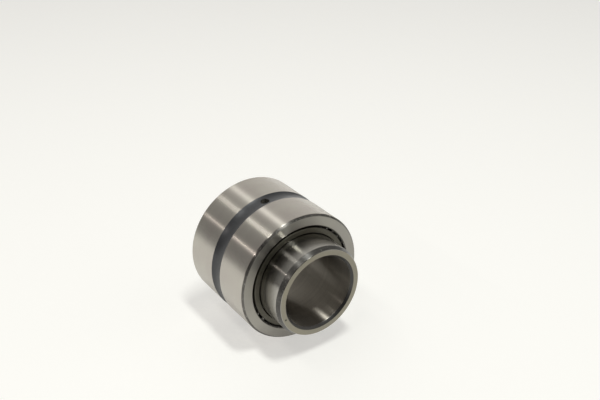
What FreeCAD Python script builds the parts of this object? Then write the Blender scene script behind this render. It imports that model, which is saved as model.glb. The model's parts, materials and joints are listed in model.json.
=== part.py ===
import FreeCAD, Part

import math
import os

# Needle roller bearing with machined rings, 15 x 27 x 20 mm, in millimetres.
# The origin is the centre of the outer ring. The bearing's axis is Y, its front looks along -Y, and +Z is up.
# The outer ring lies on its outside. The inner ring stands out of the front, as it is pulled out for fitting.

# Driving dimensions of the bearing
shaft_diameter = 15.0
housing_diameter = 27.0
raceway_diameter = 19.0
ring_width = 20.0
inner_ring_shift = 6.34

# Rolling elements
roller_diameter = 2.5
roller_length = 15.8
roller_count = 18
roller_end_round = 0.2
raceway_clearance = 0.02
roller_end_gap = 0.1

# Outer ring
outer_edge_width = 0.39
outer_edge_height = 0.36
rib_diameter = 22.2
rib_edge = 0.2
relief_width = 0.4
relief_depth = 0.15
groove_width = 3.2
groove_depth = 0.35
oil_hole_diameter = 1.8
oil_hole_angle = 7.4

# Inner ring
lead_in_width = 1.05
lead_in_height = 0.39
bore_edge = 0.49

# Cage
cage_inside_diameter = 19.24
cage_outside_diameter = 21.38
cage_recess = 0.05
cage_edge = 0.1
pocket_clearance = 0.05
pocket_end_gap = 0.05

# How far the shapes that cut the outer ring reach past its outside
cut_margin = 1.0

# Dimensions that follow from the ones above
pitch_radius = raceway_diameter / 2 + raceway_clearance + roller_diameter / 2
outer_raceway_radius = pitch_radius + roller_diameter / 2 + raceway_clearance
raceway_half_length = roller_length / 2 + roller_end_gap
half_width = ring_width / 2

ORIGIN = FreeCAD.Vector(0, 0, 0)
AXIS = FreeCAD.Vector(0, 1, 0)


def revolved(wire):
    """A solid turned about the bearing's axis from a closed wire, drawn as (radius, distance along it)."""
    return Part.Solid(Part.Face(wire).revolve(ORIGIN, AXIS, 360))


def turned(outline):
    """A solid turned about the bearing's axis from the corners of its outline."""
    corners = [FreeCAD.Vector(radius, along, 0) for radius, along in outline]
    return revolved(Part.makePolygon(corners + corners[:1]))


def mirrored(front_half):
    """A closed outline from its front half, listed from the inside surface round to the outside."""
    rear_half = [(radius, -along) for radius, along in reversed(front_half)]
    return front_half + rear_half


def around(index):
    """The direction from the axis to one roller: the first is at the top, the rest follow towards +X."""
    angle = math.radians(360 * index / roller_count)
    return FreeCAD.Vector(math.sin(angle), 0, math.cos(angle))


def groove_cutter():
    """What the lubrication groove takes out of the outer ring: a shallow channel with a round bottom."""
    outside = housing_diameter / 2
    front = FreeCAD.Vector(outside, -groove_width / 2, 0)
    bottom = FreeCAD.Vector(outside - groove_depth, 0, 0)
    rear = FreeCAD.Vector(outside, groove_width / 2, 0)
    past = FreeCAD.Vector(cut_margin, 0, 0)
    lid = Part.makePolygon([rear, rear + past, front + past, front])
    return revolved(Part.Wire([Part.Arc(front, bottom, rear).toShape()] + lid.Edges))


def make_outer_ring():
    """The outer ring: a rib at each end of the raceway, a lubrication groove outside and one oil hole."""
    outside = housing_diameter / 2
    rib = rib_diameter / 2
    relief_radius = outer_raceway_radius + relief_depth
    relief_start = raceway_half_length - relief_width
    ring = turned(mirrored([
        (outer_raceway_radius, -relief_start),
        (relief_radius, -relief_start),
        (relief_radius, -raceway_half_length),
        (rib, -raceway_half_length),
        (rib, -half_width + rib_edge),
        (rib + rib_edge, -half_width),
        (outside - outer_edge_height, -half_width),
        (outside, -half_width + outer_edge_width),
    ]))
    angle = math.radians(oil_hole_angle)
    outward = FreeCAD.Vector(-math.sin(angle), 0, math.cos(angle))
    hole_start = outward * pitch_radius
    hole_length = outside - pitch_radius + cut_margin
    hole = Part.makeCylinder(oil_hole_diameter / 2, hole_length, hole_start, outward)
    return ring.cut(groove_cutter()).cut(hole)


def make_inner_ring():
    """The inner ring: a plain sleeve with a long lead-in at each end of its raceway."""
    bore = shaft_diameter / 2
    raceway = raceway_diameter / 2
    ring = turned(mirrored([
        (bore, -half_width + bore_edge),
        (bore + bore_edge, -half_width),
        (raceway - lead_in_height, -half_width),
        (raceway, -half_width + lead_in_width),
    ]))
    ring.translate(AXIS * -inner_ring_shift)
    return ring


def make_cage():
    """The cage: one drum with a pocket for each roller between its two end rings."""
    inside = cage_inside_diameter / 2
    outside = cage_outside_diameter / 2
    half_length = half_width - cage_recess
    drum = turned(mirrored([
        (inside, -half_length + cage_edge),
        (inside + cage_edge, -half_length),
        (outside - cage_edge, -half_length),
        (outside, -half_length + cage_edge),
    ]))
    pocket_radius = roller_diameter / 2 + pocket_clearance
    pocket_length = roller_length + 2 * pocket_end_gap
    pockets = []
    for index in range(roller_count):
        start = around(index) * pitch_radius - AXIS * (pocket_length / 2)
        pockets.append(Part.makeCylinder(pocket_radius, pocket_length, start, AXIS))
    return drum.cut(Part.makeCompound(pockets))


def make_roller(index):
    """One needle roller with rounded ends."""
    start = around(index) * pitch_radius - AXIS * (roller_length / 2)
    roller = Part.makeCylinder(roller_diameter / 2, roller_length, start, AXIS)
    rims = [edge for edge in roller.Edges if isinstance(edge.Curve, Part.Circle)]
    return roller.makeFillet(roller_end_round, rims)


def write(name, shape):
    """Write one sub-part as a single solid."""
    solid = shape.Solids[0]
    if len(shape.Solids) != 1 or not solid.isValid() or solid.Volume <= 0:
        raise ValueError(f"{name} is not one valid solid")
    solid.exportStep(f"parts/{name}.step")


os.makedirs("parts", exist_ok=True)
write("outer_ring", make_outer_ring())
write("inner_ring", make_inner_ring())
write("cage", make_cage())
for number in range(roller_count):
    write(f"roller_{number + 1:02d}", make_roller(number))
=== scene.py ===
import json
import math

import bmesh
import bpy
import numpy as np
from mathutils import Matrix, Vector

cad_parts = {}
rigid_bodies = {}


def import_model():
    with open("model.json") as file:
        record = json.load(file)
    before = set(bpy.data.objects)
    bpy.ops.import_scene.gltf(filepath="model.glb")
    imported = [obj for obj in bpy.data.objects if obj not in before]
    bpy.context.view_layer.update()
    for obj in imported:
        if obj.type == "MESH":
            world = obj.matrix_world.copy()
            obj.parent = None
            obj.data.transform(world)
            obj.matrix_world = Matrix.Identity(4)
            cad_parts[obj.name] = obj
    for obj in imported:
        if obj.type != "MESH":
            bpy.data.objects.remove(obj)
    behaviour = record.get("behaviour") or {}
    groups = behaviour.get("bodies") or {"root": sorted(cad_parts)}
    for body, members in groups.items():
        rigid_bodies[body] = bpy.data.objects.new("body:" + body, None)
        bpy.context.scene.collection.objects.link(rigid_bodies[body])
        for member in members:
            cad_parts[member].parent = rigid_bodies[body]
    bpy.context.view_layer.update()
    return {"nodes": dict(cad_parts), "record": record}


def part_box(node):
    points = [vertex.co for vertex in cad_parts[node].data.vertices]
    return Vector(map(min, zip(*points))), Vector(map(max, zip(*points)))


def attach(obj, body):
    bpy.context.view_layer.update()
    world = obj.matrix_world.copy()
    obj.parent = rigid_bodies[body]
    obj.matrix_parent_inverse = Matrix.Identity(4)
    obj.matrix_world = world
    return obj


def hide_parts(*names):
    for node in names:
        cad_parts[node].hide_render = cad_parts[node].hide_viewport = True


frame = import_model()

MM = 0.001
TINY = 1e-9
MERGE_DISTANCE = 2e-7

# How many faces go round a ring, the cage, a roller or its pocket, and the oil hole
RING_AROUND = 256
CAGE_AROUND = 180
ROLLER_AROUND = 64
OIL_HOLE_AROUND = 48

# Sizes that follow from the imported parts: radii are from the bearing's axis, which is Y.
outer_low, outer_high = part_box("outer_ring")
inner_low, inner_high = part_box("inner_ring")
cage_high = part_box("cage")[1]
roller_low, roller_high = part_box("roller_01")
mounts = {mount["name"]: mount for mount in frame["record"]["mounts"]}

OUTSIDE = outer_high.z
HALF_WIDTH = outer_high.y
FLOOR_HEIGHT = outer_low.z
RACEWAY = inner_high.z
BORE = mounts["shaft_bore"]["dims"]["r_mm"] * MM
INNER_MIDDLE = (inner_low.y + inner_high.y) / 2
CAGE_OUTSIDE = cage_high.z
CAGE_HALF = cage_high.y
ROLLER_RADIUS = (roller_high.z - roller_low.z) / 2
ROLLER_HALF = roller_high.y
PITCH = (roller_high.z + roller_low.z) / 2
ROLLER_NODES = sorted(name for name in frame["nodes"] if name.startswith("roller_"))

# Sizes of the outer ring's section that its box does not give
RACEWAY_CLEARANCE = 0.02 * MM
ROLLER_END_CLEARANCE = 0.1 * MM
OUTER_RACEWAY = PITCH + ROLLER_RADIUS + RACEWAY_CLEARANCE
RACEWAY_HALF = ROLLER_HALF + ROLLER_END_CLEARANCE
RIB = 11.1 * MM
RELIEF_WIDTH = 0.4 * MM
RELIEF_DEPTH = 0.15 * MM
OUTER_EDGE_WIDTH = 0.39 * MM
OUTER_EDGE_HEIGHT = 0.36 * MM
RIB_EDGE = 0.2 * MM
GROOVE_HALF = 1.6 * MM
GROOVE_DEPTH = 0.35 * MM
OIL_HOLE_RADIUS = 0.9 * MM
OIL_HOLE_ANGLE = math.radians(7.4)

# Where the groove's rounded outline has its corners, in parts of the half angle that it spans
GROOVE_CORNERS = (5 / 7, 3 / 7, 1 / 7)

# Sizes of the inner ring's and the cage's sections
LEAD_IN_WIDTH = 1.05 * MM
LEAD_IN_HEIGHT = 0.39 * MM
LEAD_IN_BREAK = 0.07 * MM
BORE_EDGE = 0.49 * MM
CAGE_INSIDE = 9.62 * MM
CAGE_EDGE = 0.1 * MM
POCKET_CLEARANCE = 0.05 * MM

# How far each corner of the sections is rounded, in how many steps, and the most that it takes of a side
CORNER_STEPS = 4
ROD_CORNER_STEPS = 5
CORNER_REACH = 0.4
RIB_ROUNDING = 0.04 * MM
OUTER_FACE_ROUNDING = 0.2 * MM
OUTER_EDGE_ROUNDING = 0.5 * MM
GROOVE_EDGE_ROUNDING = 0.1 * MM
INNER_FACE_ROUNDING = 0.06 * MM
BORE_ROUNDING = 0.3 * MM
LEAD_IN_ROUNDING = 0.3 * MM
CAGE_ROUNDING = 0.05 * MM
ROLLER_END_ROUNDING = 0.2 * MM

# Which surface a face belongs to after cutting. It is turned when it agrees this well with the section's
# normals. Otherwise it is a cutter's when its distance from the cutter's axis is the cutter's radius, give
# or take the spread. There it is round, unless it points along the axis by more than the lean.
TURNED_AGREEMENT = 0.6
WALL_SPREAD = 0.1
WALL_LEAN = 0.3

# The small pit on the inner ring's front face, painted as a near-black spot for the shade inside it: its
# middle and its size
INNER_FACE_PIT_SHADES = (((-7.96 * MM, inner_low.y, -2.98 * MM), 0.24 * MM),)

# The textures of the metal. Lengths are in metres, and a scale is how many waves a metre holds. Nearly all
# values of a noise lie between its low and its high.
NOISE_LOW = 0.35
NOISE_HIGH = 0.65
LINE_LENGTH = 0.02
LINE_DETAIL = 4.0
LINE_ROUGHNESS = 0.6
BROAD_LINE_LENGTH = 0.06
BROAD_LINE_SHARE = 0.6
BROADER_AROUND = 7
BROADER_ELSEWHERE = 5
FACE_LINE_SCALE = 120.0
CLOUD_SCALE = 160.0
MOTTLE_SCALE = 2600.0
MOTTLE_FROM = 0.42
MOTTLE_FULL = 0.62
MOTTLE_DEPTH = 0.35
# Painted glints: pale specks mixed into the colour of the dark edges stand in for the glints of their facets
SPARKLE_SCALE = 3300.0
SPARKLE_FROM = 0.6
SPARKLE_FULL = 0.72
PAINTED_GLINT_COLOUR = (0.75, 0.74, 0.70)
# Painted shade: the near-black colour of the spot painted at a pit
PIT_SHADE_COLOUR = (0.01, 0.01, 0.01)
BUMP_STRENGTH = 0.6
QUARTER_TURN = 0.25

# The camera: where it stands from the middle of the outer ring's front face, and its lens
VIEW_AZIMUTH = math.radians(-34.948)
VIEW_ELEVATION = math.radians(28.189)
CAMERA_BACK = 154.85 * MM
CAMERA_UP = 15.20 * MM
CAMERA_RIGHT = -0.27 * MM
LENS = 47.50
SENSOR_WIDTH = 36.0
NEAREST_SEEN = 0.01
FURTHEST_SEEN = 20.0

# The floor: how far it reaches, and how much light it gives off where the camera sees it. Its glow
# elsewhere goes from one place to another, in metres, with the strength at the first and at the second.
FLOOR_REACH = 4.0
FLOOR_PALENESS = 0.5
NEAR_GLOW_ALONG = (-0.12, -0.025, 0.04, 0.37)
FAR_GLOW_ACROSS = (0.0, 0.3, 0.0, 1.6)
FAR_GLOW_ALONG = (0.05, 0.35, 0.0, 1.0)

# The room's glow goes from one direction to another, which are parts of a direction of length one, with
# the strength at the first and at the second.
REAR_GLOW_ALONG = (0.25, 0.75, 0.0, 1.0)
REAR_GLOW_ACROSS = (-0.55, 0.65, 0.36, 0.97)
FRONT_GLOW_ALONG = (-0.3, 0.1, 1.0, 0.0)
FRONT_GLOW_ACROSS = (0.2, 0.8, 0.05, 0.75)
ROOM_DIMMEST = 0.05

# How far the lights stand from the middle of the outer ring
LIGHT_DISTANCE = 0.45


class Shader:
    """The nodes of a material or a world, built step by step."""

    def __init__(self, owner):
        owner.use_nodes = True
        self.owner = owner
        self.tree = owner.node_tree
        self.tree.nodes.clear()

    def feed(self, socket, value):
        """Links the value to the socket if it comes out of a node, and sets the socket to it otherwise."""
        if isinstance(value, bpy.types.NodeSocket):
            self.tree.links.new(value, socket)
        else:
            socket.default_value = value

    def add(self, kind, settings=None, **inputs):
        """A new node. Inputs are given by name with _ for a space, or as i0, i1 for sockets by number."""
        node = self.tree.nodes.new("ShaderNode" + kind)
        for key, value in (settings or {}).items():
            setattr(node, key, value)
        for key, value in inputs.items():
            if key[0] == "i" and key[1:].isdigit():
                socket = node.inputs[int(key[1:])]
            else:
                socket = node.inputs[key.replace("_", " ")]
            self.feed(socket, value)
        return node

    def math(self, operation, first, second=0.0):
        """The result of a sum on one or two values."""
        return self.add("Math", {"operation": operation}, i0=first, i1=second).outputs[0]

    def noise(self, vector, scale, detail=3.0, roughness=0.5):
        """Noise from 0 to 1, with scale waves in each unit of the vector."""
        node = self.add("TexNoise", None, Vector=vector, Scale=scale, Detail=detail, Roughness=roughness)
        return node.outputs["Fac"]

    def ranged(self, value, from_low, from_high, to_low, to_high):
        """The value carried from one range to another, held at the ends."""
        node = self.add("MapRange", {"clamp": True}, Value=value, From_Min=from_low, From_Max=from_high,
                        To_Min=to_low, To_Max=to_high)
        return node.outputs["Result"]

    def blend(self, factor, first, second, mode="MIX"):
        """Two colours mixed by a factor. Each is a socket or a (red, green, blue)."""
        colours = []
        for colour in (first, second):
            colours.append((*colour, 1.0) if isinstance(colour, tuple) else colour)
        node = self.add("Mix", {"data_type": "RGBA", "blend_type": mode}, Factor=factor, i6=colours[0],
                        i7=colours[1])
        return node.outputs[2]

    def place(self):
        """Object coordinates as (vector, x, y, z)."""
        vector = self.add("TexCoord").outputs["Object"]
        parts = self.add("SeparateXYZ", None, Vector=vector).outputs
        return vector, parts[0], parts[1], parts[2]

    def stretched(self, vector, x, y, z):
        """The vector with each part scaled on its own."""
        return self.add("Mapping", None, Vector=vector, Scale=(x, y, z)).outputs[0]

    def finish(self, surface, output="OutputMaterial"):
        """Sends the surface to the output, and gives back the material or the world."""
        self.add(output, None, Surface=surface)
        return self.owner


def lines_around(shader, vector, pitch, length):
    """Noise drawn out round the bearing's axis, as grinding leaves it."""
    drawn = shader.stretched(vector, 1 / length, 1 / pitch, 1 / length)
    return shader.noise(drawn, 1.0, LINE_DETAIL, LINE_ROUGHNESS)


def lines_on_face(shader, x, z, pitch):
    """Rings about the bearing's axis on an end face, as turning and grinding leave them."""
    square = shader.math("ADD", shader.math("MULTIPLY", x, x), shader.math("MULTIPLY", z, z))
    radius = shader.math("SQRT", square)
    drawn = shader.add("CombineXYZ", None, X=shader.math("MULTIPLY", radius, 1 / pitch),
                       Y=shader.math("MULTIPLY", x, FACE_LINE_SCALE),
                       Z=shader.math("MULTIPLY", z, FACE_LINE_SCALE))
    return shader.noise(drawn.outputs[0], 1.0, LINE_DETAIL, LINE_ROUGHNESS)


def metal(name, colour, tint, roughness, anisotropy, bump, finish="around", pitch=0.00018,
          contrast=0.05, wander=0.03, mottle=0.0, painted_glints=0.0, pit_shades=(), metallic=1.0):
    """Machined steel. Its colour wanders between colour and tint, and its roughness by the part wander.
    The finish says how its lines run: around the axis, in rings on a face, or plain, which is every way.
    Bump and pitch are the lines' depth and spacing in metres. Pit shades are (middle, size) of painted
    shade: near-black spots at pits."""
    shader = Shader(bpy.data.materials.new(name))
    vector, x, y, z = shader.place()
    if finish == "around":
        lines = lines_around(shader, vector, pitch, LINE_LENGTH)
        broad = lines_around(shader, vector, pitch * BROADER_AROUND, BROAD_LINE_LENGTH)
    elif finish == "face":
        lines = lines_on_face(shader, x, z, pitch)
        broad = lines_on_face(shader, x, z, pitch * BROADER_ELSEWHERE)
    else:
        lines = shader.noise(vector, 1 / pitch, detail=5.0, roughness=0.65)
        broad = shader.noise(vector, 1 / (pitch * BROADER_ELSEWHERE))
    cloud = shader.noise(vector, CLOUD_SCALE, roughness=0.55)
    base = shader.blend(shader.ranged(cloud, NOISE_LOW, NOISE_HIGH, 0.0, 1.0), colour, tint)
    shade = shader.ranged(shader.math("ADD", lines, broad), 2 * NOISE_LOW, 2 * NOISE_HIGH,
                          1 - contrast, 1.0)
    grey = shader.add("CombineColor", None, Red=shade, Green=shade, Blue=shade)
    base = shader.blend(1.0, base, grey.outputs[0], "MULTIPLY")
    if mottle:
        speckle = shader.noise(vector, MOTTLE_SCALE, detail=5.0, roughness=0.7)
        spots = shader.ranged(speckle, MOTTLE_FROM, MOTTLE_FULL, 0.0, mottle)
        base = shader.blend(spots, base, tuple(part * MOTTLE_DEPTH for part in colour))
    # Painted glints: pale specks go into the colour where the noise is high
    if painted_glints:
        glint_noise = shader.noise(vector, SPARKLE_SCALE, detail=2.0, roughness=0.6)
        glints = shader.ranged(glint_noise, SPARKLE_FROM, SPARKLE_FULL, 0.0, painted_glints)
        base = shader.blend(glints, base, PAINTED_GLINT_COLOUR)
    # Painted shade: a near-black spot at each pit, whose hollow the mesh doesn't have
    for middle, size in pit_shades:
        offset = shader.add("VectorMath", {"operation": "DISTANCE"}, i0=vector, i1=middle)
        spot = shader.ranged(offset.outputs["Value"], size / 2, size, 1.0, 0.0)
        base = shader.blend(spot, base, PIT_SHADE_COLOUR)
    rough = shader.ranged(shader.math("ADD", lines, cloud), 2 * NOISE_LOW, 2 * NOISE_HIGH,
                          roughness * (1 - wander), roughness * (1 + wander))
    height = shader.math("ADD", lines, shader.math("MULTIPLY", broad, BROAD_LINE_SHARE))
    relief = shader.add("Bump", None, Strength=BUMP_STRENGTH, Distance=bump, Height=height)
    surface = shader.add("BsdfPrincipled", None, Base_Color=base, Metallic=metallic, Roughness=rough,
                         Anisotropic=anisotropy, Normal=relief.outputs[0])
    if anisotropy:
        surface.inputs["Anisotropic Rotation"].default_value = QUARTER_TURN
        direction = shader.add("Tangent", {"direction_type": "RADIAL", "axis": "Y"})
        shader.feed(surface.inputs["Tangent"], direction.outputs[0])
    return shader.finish(surface.outputs[0])


def make_materials():
    """Every finish on the bearing, by name."""
    return {
        "outer_ground": metal(
            "outer_ground", (0.60, 0.575, 0.52), (0.57, 0.53, 0.49), roughness=0.24, anisotropy=1.0,
            bump=2e-7),
        "groove": metal(
            "groove_scale", (0.076, 0.078, 0.084), (0.092, 0.095, 0.104), roughness=0.36, anisotropy=0.6,
            bump=3e-6, pitch=0.0003, contrast=0.2, mottle=0.2, metallic=0.5),
        "outer_edge": metal(
            "outer_edge", (0.14, 0.135, 0.125), (0.19, 0.18, 0.17), roughness=0.43, anisotropy=0.9,
            bump=4e-6, finish="plain", pitch=0.0005, painted_glints=0.7),
        "outer_face": metal(
            "outer_face", (0.42, 0.405, 0.365), (0.385, 0.37, 0.34), roughness=0.315, anisotropy=1.0,
            bump=2e-6, finish="face", pitch=0.00022),
        "inner_ground": metal(
            "inner_ground", (0.50, 0.485, 0.45), (0.46, 0.445, 0.415), roughness=0.155, anisotropy=1.0,
            bump=3e-7, pitch=0.00014, contrast=0.12),
        "inner_edge": metal(
            "inner_edge", (0.091, 0.087, 0.082), (0.113, 0.109, 0.102), roughness=0.28, anisotropy=0.5,
            bump=3e-6, contrast=0.3, painted_glints=0.3, metallic=0.4),
        "inner_face": metal(
            "inner_face", (0.36, 0.335, 0.265), (0.33, 0.31, 0.255), roughness=0.42, anisotropy=0.3,
            bump=2e-6, finish="face", pitch=0.0002, pit_shades=INNER_FACE_PIT_SHADES),
        "bore": metal(
            "bore_ground", (0.40, 0.372, 0.33), (0.36, 0.332, 0.295), roughness=0.325, anisotropy=1.0,
            bump=3e-7, contrast=0.2),
        "bore_edge": metal(
            "bore_edge", (0.115, 0.112, 0.108), (0.09, 0.088, 0.087), roughness=0.40, anisotropy=0.3,
            bump=2e-6),
        "raceway": metal(
            "raceway_ground", (0.52, 0.50, 0.46), (0.47, 0.455, 0.42), roughness=0.26, anisotropy=0.9,
            bump=8e-7),
        "cage": metal(
            "cage_sheet", (0.142, 0.134, 0.108), (0.110, 0.103, 0.079), roughness=0.40, anisotropy=0.2,
            bump=4e-6, finish="plain", pitch=0.0004, contrast=0.2, mottle=0.25, metallic=0.7),
        "roller": metal(
            "roller_lapped", (0.60, 0.59, 0.56), (0.55, 0.54, 0.52), roughness=0.20, anisotropy=0.8,
            bump=5e-7, pitch=0.00012, contrast=0.1),
    }


def rounded(outline, steps=CORNER_STEPS):
    """The outline with its corners rounded. Each corner is (radius, along, rounding, finish after it).
    The result is a list of (radius, along, normal radius, normal along, finish after it)."""
    made = []
    for index, (radius, along, rounding, finish_after) in enumerate(outline):
        here = Vector((radius, along))
        before = Vector(outline[index - 1][:2])
        after = Vector(outline[(index + 1) % len(outline)][:2])
        arriving = (here - before).normalized()
        leaving = (after - here).normalized()
        turn = arriving.angle_signed(leaving)
        finish_before = outline[index - 1][3]
        normal_in = Vector((arriving.y, -arriving.x))
        normal_out = Vector((leaving.y, -leaving.x))
        setback = min(rounding * math.tan(abs(turn) / 2), CORNER_REACH * (here - before).length,
                      CORNER_REACH * (after - here).length)
        start = here - arriving * setback
        end = here + leaving * setback
        for step in range(steps + 1):
            part = step / steps
            point = start * (1 - part) ** 2 + here * 2 * part * (1 - part) + end * part ** 2
            normal = normal_in.lerp(normal_out, part).normalized()
            edge_finish = finish_before if part < 0.5 else finish_after
            made.append((point.x, point.y, normal.x, normal.y, edge_finish))
    return made


def both_ends(half, inside=None):
    """A closed outline from its front half, listed from the inside surface round to the outside.
    Its last corner's finish crosses to the rear half, and inside is the finish that closes the outline."""
    finishes_before = [inside or half[0][3]] + [corner[3] for corner in half[:-1]]
    rear = []
    for (radius, along, rounding, _), finish in zip(half, finishes_before):
        rear.insert(0, (radius, -along, rounding, finish))
    return half + rear


def exact_normals(mesh, section, middle, wall_radius=0.0, wall_axes=()):
    """Gives a turned mesh the true normals of its section. Walls cut into it by round cutters get the
    normals of those cutters. A wall axis is (a point on it, its direction)."""
    starts = np.array([row[:4] for row in section])
    ends = np.roll(starts, -1, axis=0)
    spans = ends[:, :2] - starts[:, :2]
    lengths = (spans ** 2).sum(1) + TINY ** 2
    points = np.empty(len(mesh.vertices) * 3)
    mesh.vertices.foreach_get("co", points)
    points = points.reshape(-1, 3)
    radius = np.hypot(points[:, 0], points[:, 2])
    flat = np.stack([radius, points[:, 1] - middle], 1)
    offset = flat[:, None, :] - starts[None, :, :2]
    share = np.clip((offset * spans).sum(2) / lengths, 0, 1)
    gap = ((offset - share[:, :, None] * spans) ** 2).sum(2)
    nearest = gap.argmin(1)
    part = share[np.arange(len(flat)), nearest][:, None]
    turned_normal = starts[nearest, 2:4] * (1 - part) + ends[nearest, 2:4] * part
    sideways = points[:, [0, 2]] / np.maximum(radius, TINY)[:, None]
    normals = np.stack([turned_normal[:, 0] * sideways[:, 0], turned_normal[:, 1],
                        turned_normal[:, 0] * sideways[:, 1]], 1)
    loops = np.empty(len(mesh.loops), int)
    mesh.loops.foreach_get("vertex_index", loops)
    loop_normals = normals[loops]
    if wall_axes:
        for polygon in mesh.polygons:
            centre = np.array(polygon.center)
            facing = np.array(polygon.normal)
            corners = list(polygon.loop_indices)
            if (loop_normals[corners] @ facing).min() > TURNED_AGREEMENT:
                continue
            for start, along in wall_axes:
                from_axis = (centre - start) - ((centre - start) @ along) * along
                if abs(np.linalg.norm(from_axis) - wall_radius) > WALL_SPREAD * wall_radius:
                    continue
                on_wall = abs(facing @ along) < WALL_LEAN
                for corner in corners:
                    reach = points[loops[corner]] - start
                    inward = ((reach @ along) * along - reach) / wall_radius
                    loop_normals[corner] = inward if on_wall else facing
                break
            else:
                loop_normals[corners] = facing
    loop_normals /= np.maximum(np.linalg.norm(loop_normals, axis=1), TINY)[:, None]
    mesh.polygons.foreach_set("use_smooth", [True] * len(mesh.polygons))
    mesh.normals_split_custom_set([tuple(normal) for normal in loop_normals])


def merge_doubles(mesh, face_outward=False):
    """Joins the vertices that lie in the same place, and turns the faces outward if asked."""
    shape = bmesh.new()
    shape.from_mesh(mesh)
    bmesh.ops.remove_doubles(shape, verts=shape.verts, dist=MERGE_DISTANCE)
    if face_outward:
        bmesh.ops.recalc_face_normals(shape, faces=shape.faces)
    shape.to_mesh(mesh)
    shape.free()


def turned(name, section, finishes, middle=0.0, count=RING_AROUND):
    """A mesh turned about the Y axis from a rounded section. Middle is where the section's own middle lies
    along Y, and count is how many faces go round."""
    names = list(dict.fromkeys(row[4] for row in section))
    points = []
    for index in range(count):
        angle = 2 * math.pi * index / count
        side = math.sin(angle)
        up = math.cos(angle)
        points += [(row[0] * side, row[1] + middle, row[0] * up) for row in section]
    size = len(section)
    faces = []
    face_finish = []
    for index in range(count):
        here = index * size
        there = (index + 1) % count * size
        for step in range(size):
            after = (step + 1) % size
            faces.append((here + step, there + step, there + after, here + after))
            face_finish.append(names.index(section[step][4]))
    mesh = bpy.data.meshes.new(name)
    mesh.from_pydata(points, [], faces)
    for finish in names:
        mesh.materials.append(finishes[finish])
    mesh.polygons.foreach_set("material_index", face_finish)
    merge_doubles(mesh, face_outward=True)
    exact_normals(mesh, section, middle)
    return mesh


def cut(mesh, cutters):
    """The mesh with the cutters' shapes taken out of it. A cutter is (its mesh, its place)."""
    scene = bpy.context.scene
    body = bpy.data.objects.new("body", mesh)
    scene.collection.objects.link(body)
    group = bpy.data.collections.new("cutters")
    scene.collection.children.link(group)
    for cutter_mesh, place in cutters:
        cutter = bpy.data.objects.new("cutter", cutter_mesh)
        cutter.matrix_world = place
        group.objects.link(cutter)
    boolean = body.modifiers.new("cut", "BOOLEAN")
    boolean.operation = "DIFFERENCE"
    boolean.solver = "EXACT"
    boolean.operand_type = "COLLECTION"
    boolean.collection = group
    bpy.context.view_layer.update()
    evaluated = body.evaluated_get(bpy.context.evaluated_depsgraph_get())
    made = bpy.data.meshes.new_from_object(evaluated)
    merge_doubles(made)
    for cutter in list(group.objects):
        bpy.data.objects.remove(cutter)
    bpy.data.collections.remove(group)
    bpy.data.objects.remove(body)
    return made


def rod_section(radius, half, rounding, finish):
    """The section of a rod about its own axis, with rounded ends."""
    outline = [(TINY, -half, 0, finish), (radius, -half, rounding, finish),
               (radius, half, rounding, finish), (TINY, half, 0, finish)]
    return rounded(outline, ROD_CORNER_STEPS)


def piece(node, mesh, place=(0, 0, 0)):
    """A shown piece that stands for a CAD node and moves with its body."""
    thing = bpy.data.objects.new(node + "_body", mesh)
    bpy.context.scene.collection.objects.link(thing)
    thing.location = place
    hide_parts(node)
    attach(thing, node)


def groove_half():
    """The front half of the groove's round bottom, from beside its edge to beside its middle."""
    radius = (GROOVE_HALF ** 2 + GROOVE_DEPTH ** 2) / (2 * GROOVE_DEPTH)
    spread = math.asin(GROOVE_HALF / radius)
    corners = []
    for part in GROOVE_CORNERS:
        angle = spread * part
        bottom = OUTSIDE - GROOVE_DEPTH + radius * (1 - math.cos(angle))
        corners.append((bottom, -radius * math.sin(angle), radius, "groove"))
    return corners


def outer_ring_section():
    """The outer ring's raceway with its reliefs, the ribs, the faces, the outside and the groove."""
    relief = OUTER_RACEWAY + RELIEF_DEPTH
    relief_start = RACEWAY_HALF - RELIEF_WIDTH
    return rounded(both_ends([
        (OUTER_RACEWAY, -relief_start, RIB_ROUNDING, "raceway"),
        (relief, -relief_start, RIB_ROUNDING, "raceway"),
        (relief, -RACEWAY_HALF, RIB_ROUNDING, "raceway"),
        (RIB, -RACEWAY_HALF, RIB_ROUNDING, "raceway"),
        (RIB, -HALF_WIDTH + RIB_EDGE, RIB_ROUNDING, "outer_edge"),
        (RIB + RIB_EDGE, -HALF_WIDTH, RIB_ROUNDING, "outer_face"),
        (OUTSIDE - OUTER_EDGE_HEIGHT, -HALF_WIDTH, OUTER_FACE_ROUNDING, "outer_edge"),
        (OUTSIDE, -HALF_WIDTH + OUTER_EDGE_WIDTH, OUTER_EDGE_ROUNDING, "outer_ground"),
        (OUTSIDE, -GROOVE_HALF, GROOVE_EDGE_ROUNDING, "groove"),
    ] + groove_half()))


def make_outer_ring(finishes):
    """The outer ring, with its oil hole drilled through the groove."""
    section = outer_ring_section()
    ring = turned("outer_ring_body", section, finishes)
    outward = Vector((-math.sin(OIL_HOLE_ANGLE), 0, math.cos(OIL_HOLE_ANGLE)))
    hole = rod_section(OIL_HOLE_RADIUS, OUTSIDE - PITCH, 0, "raceway")
    drill = turned("drill", hole, finishes, count=OIL_HOLE_AROUND)
    turn = outward.to_track_quat("Y", "Z").to_matrix().to_4x4()
    ring = cut(ring, [(drill, Matrix.Translation(outward * OUTSIDE) @ turn)])
    exact_normals(ring, section, 0.0, OIL_HOLE_RADIUS, [(np.zeros(3), np.array(outward))])
    piece("outer_ring", ring)


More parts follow.
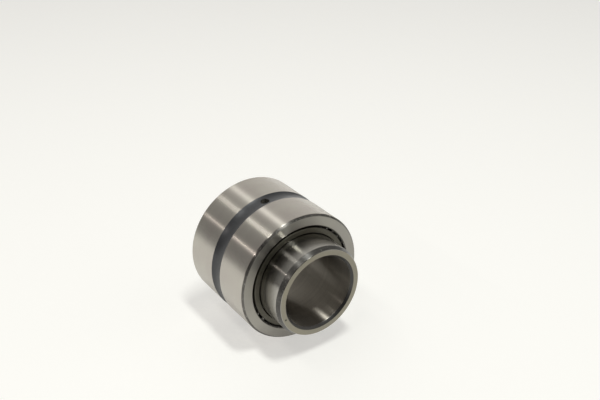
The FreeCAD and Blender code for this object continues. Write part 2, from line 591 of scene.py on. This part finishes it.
def make_inner_ring(finishes):
    """The inner ring, with a narrow polished break between each face and its lead-in."""
    lead_in = RACEWAY - LEAD_IN_HEIGHT
    section = rounded(both_ends([
        (BORE, -HALF_WIDTH + BORE_EDGE, BORE_ROUNDING, "bore_edge"),
        (BORE + BORE_EDGE, -HALF_WIDTH, INNER_FACE_ROUNDING, "inner_face"),
        (lead_in - LEAD_IN_BREAK, -HALF_WIDTH, INNER_FACE_ROUNDING, "inner_ground"),
        (lead_in, -HALF_WIDTH + LEAD_IN_BREAK, INNER_FACE_ROUNDING, "inner_edge"),
        (RACEWAY, -HALF_WIDTH + LEAD_IN_WIDTH, LEAD_IN_ROUNDING, "inner_ground"),
    ], "bore"))
    piece("inner_ring", turned("inner_ring_body", section, finishes, INNER_MIDDLE))


def make_cage(finishes):
    """The cage: a drum with a pocket round each roller."""
    section = rounded(both_ends([
        (CAGE_INSIDE, -CAGE_HALF + CAGE_EDGE, CAGE_ROUNDING, "cage"),
        (CAGE_INSIDE + CAGE_EDGE, -CAGE_HALF, CAGE_ROUNDING, "cage"),
        (CAGE_OUTSIDE - CAGE_EDGE, -CAGE_HALF, CAGE_ROUNDING, "cage"),
        (CAGE_OUTSIDE, -CAGE_HALF + CAGE_EDGE, CAGE_ROUNDING, "cage"),
    ]))
    radius = ROLLER_RADIUS + POCKET_CLEARANCE
    space = rod_section(radius, ROLLER_HALF + POCKET_CLEARANCE, 0, "cage")
    pocket = turned("pocket", space, finishes, count=ROLLER_AROUND)
    middles = [roller_middle(node) for node in ROLLER_NODES]
    drum = cut(turned("cage_body", section, finishes, count=CAGE_AROUND),
               [(pocket, Matrix.Translation(middle)) for middle in middles])
    along = np.array((0.0, 1.0, 0.0))
    exact_normals(drum, section, 0.0, radius, [(np.array(middle), along) for middle in middles])
    piece("cage", drum)


def roller_middle(node):
    """The middle of a roller's CAD box."""
    low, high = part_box(node)
    return (low + high) / 2


def make_rollers(finishes):
    """The rollers, which share one mesh."""
    section = rod_section(ROLLER_RADIUS, ROLLER_HALF, ROLLER_END_ROUNDING, "roller")
    mesh = turned("roller_body", section, finishes, count=ROLLER_AROUND)
    for node in ROLLER_NODES:
        piece(node, mesh, roller_middle(node))


def softbox(name, across, along, width, length, radiance, colour):
    """A rectangular light that faces the bearing, with its length in line with the bearing's axis.
    across is its angle from the top towards +X and along its angle towards the rear. These, its width and
    its length are in degrees, as seen from the bearing."""
    across = math.radians(across)
    along = math.radians(along)
    towards = Vector((math.sin(across) * math.cos(along), math.sin(along),
                      math.cos(across) * math.cos(along)))
    light = bpy.data.lights.new(name, "AREA")
    light.shape = "RECTANGLE"
    light.size = 2 * LIGHT_DISTANCE * math.tan(math.radians(width / 2))
    light.size_y = 2 * LIGHT_DISTANCE * math.tan(math.radians(length / 2))
    light.energy = radiance * math.pi * light.size * light.size_y
    light.color = colour
    lamp = bpy.data.objects.new(name, light)
    lengthways = Vector((0, 1, 0)) - towards * towards.y
    lengthways.normalize()
    turn = Matrix((lengthways.cross(towards), lengthways, towards)).transposed()
    lamp.rotation_mode = "QUATERNION"
    lamp.rotation_quaternion = turn.to_quaternion()
    lamp.location = towards * LIGHT_DISTANCE
    lamp.visible_camera = False
    bpy.context.scene.collection.objects.link(lamp)


def make_camera():
    """The camera, placed from the middle of the outer ring's front face."""
    sideways = Vector((math.sin(VIEW_AZIMUTH), -math.cos(VIEW_AZIMUTH), 0))
    upright = Vector((0, 0, 1))
    right = Vector((math.cos(VIEW_AZIMUTH), math.sin(VIEW_AZIMUTH), 0))
    up = upright * math.cos(VIEW_ELEVATION) - sideways * math.sin(VIEW_ELEVATION)
    back = sideways * math.cos(VIEW_ELEVATION) + upright * math.sin(VIEW_ELEVATION)
    data = bpy.data.cameras.new("camera")
    data.lens = LENS
    data.sensor_width = SENSOR_WIDTH
    data.clip_start = NEAREST_SEEN
    data.clip_end = FURTHEST_SEEN
    camera = bpy.data.objects.new("camera", data)
    front = Vector((0, outer_low.y, 0))
    camera.location = front + right * CAMERA_RIGHT + up * CAMERA_UP + back * CAMERA_BACK
    camera.rotation_mode = "QUATERNION"
    camera.rotation_quaternion = Matrix((right, up, back)).transposed().to_quaternion()
    bpy.context.scene.collection.objects.link(camera)
    bpy.context.scene.camera = camera


def make_floor():
    """A pale floor. It gives off light that grows towards the rear and the right, as a lit studio table
    does, and looks plain where the camera sees it."""
    mesh = bpy.data.meshes.new("floor")
    corners = [(across * FLOOR_REACH, along * FLOOR_REACH, FLOOR_HEIGHT)
               for across, along in ((-1, -1), (1, -1), (1, 1), (-1, 1))]
    mesh.from_pydata(corners, [], [(0, 1, 2, 3)])
    shader = Shader(bpy.data.materials.new("floor"))
    _, across, along, _ = shader.place()
    near = shader.ranged(along, *NEAR_GLOW_ALONG)
    far = shader.math("MULTIPLY", shader.ranged(across, *FAR_GLOW_ACROSS),
                      shader.ranged(along, *FAR_GLOW_ALONG))
    glow = shader.math("ADD", near, far)
    seen = shader.add("LightPath").outputs["Is Camera Ray"]
    plain = shader.add("Mix", {"data_type": "FLOAT"}, Factor=seen, A=glow, B=FLOOR_PALENESS)
    surface = shader.add("BsdfPrincipled", None, Base_Color=(0.55, 0.55, 0.54, 1), Roughness=0.8,
                         Emission_Color=(1.0, 0.985, 0.95, 1), Emission_Strength=plain.outputs[0])
    material = shader.finish(surface.outputs[0])
    material.cycles.emission_sampling = "NONE"
    mesh.materials.append(material)
    floor = bpy.data.objects.new("floor", mesh)
    bpy.context.scene.collection.objects.link(floor)


def make_world():
    """A dim room that is brighter behind the bearing and to the right, and pale where the camera sees it."""
    shader = Shader(bpy.data.worlds.new("studio"))
    toward = shader.add("TexCoord").outputs["Generated"]
    across, along, _ = shader.add("SeparateXYZ", None, Vector=toward).outputs
    rear = shader.math("MULTIPLY", shader.ranged(along, *REAR_GLOW_ALONG),
                       shader.ranged(across, *REAR_GLOW_ACROSS))
    front = shader.math("MULTIPLY", shader.ranged(along, *FRONT_GLOW_ALONG),
                        shader.ranged(across, *FRONT_GLOW_ACROSS))
    glow = shader.math("MAXIMUM", shader.math("ADD", rear, front), ROOM_DIMMEST)
    lit = shader.add("Background", None, Color=(1.0, 0.98, 0.93, 1.0), Strength=glow)
    pale = shader.add("Background", None, Color=(0.93, 0.93, 0.92, 1.0), Strength=1.0)
    seen = shader.add("LightPath").outputs["Is Camera Ray"]
    both = shader.add("MixShader", None, i0=seen, i1=lit.outputs[0], i2=pale.outputs[0])
    world = shader.finish(both.outputs[0], "OutputWorld")
    world.cycles.sampling_method = "NONE"
    bpy.context.scene.world = world


all_finishes = make_materials()
make_outer_ring(all_finishes)
make_inner_ring(all_finishes)
make_cage(all_finishes)
make_rollers(all_finishes)
make_camera()
make_floor()
make_world()
softbox("window", across=-22.3, along=3, width=7.4, length=46, radiance=4.7, colour=(1.0, 0.99, 0.93))
softbox("overhead", across=0.0, along=2, width=9, length=44, radiance=0.15, colour=(1.0, 0.985, 0.93))
softbox("front", across=1.7, along=-14, width=6.0, length=14, radiance=62.0, colour=(0.985, 1.0, 0.95))
softbox("strip", across=-55.4, along=3, width=1.3, length=48, radiance=15.5, colour=(1.0, 0.92, 0.86))
bpy.context.scene.view_settings.view_transform = "Standard"
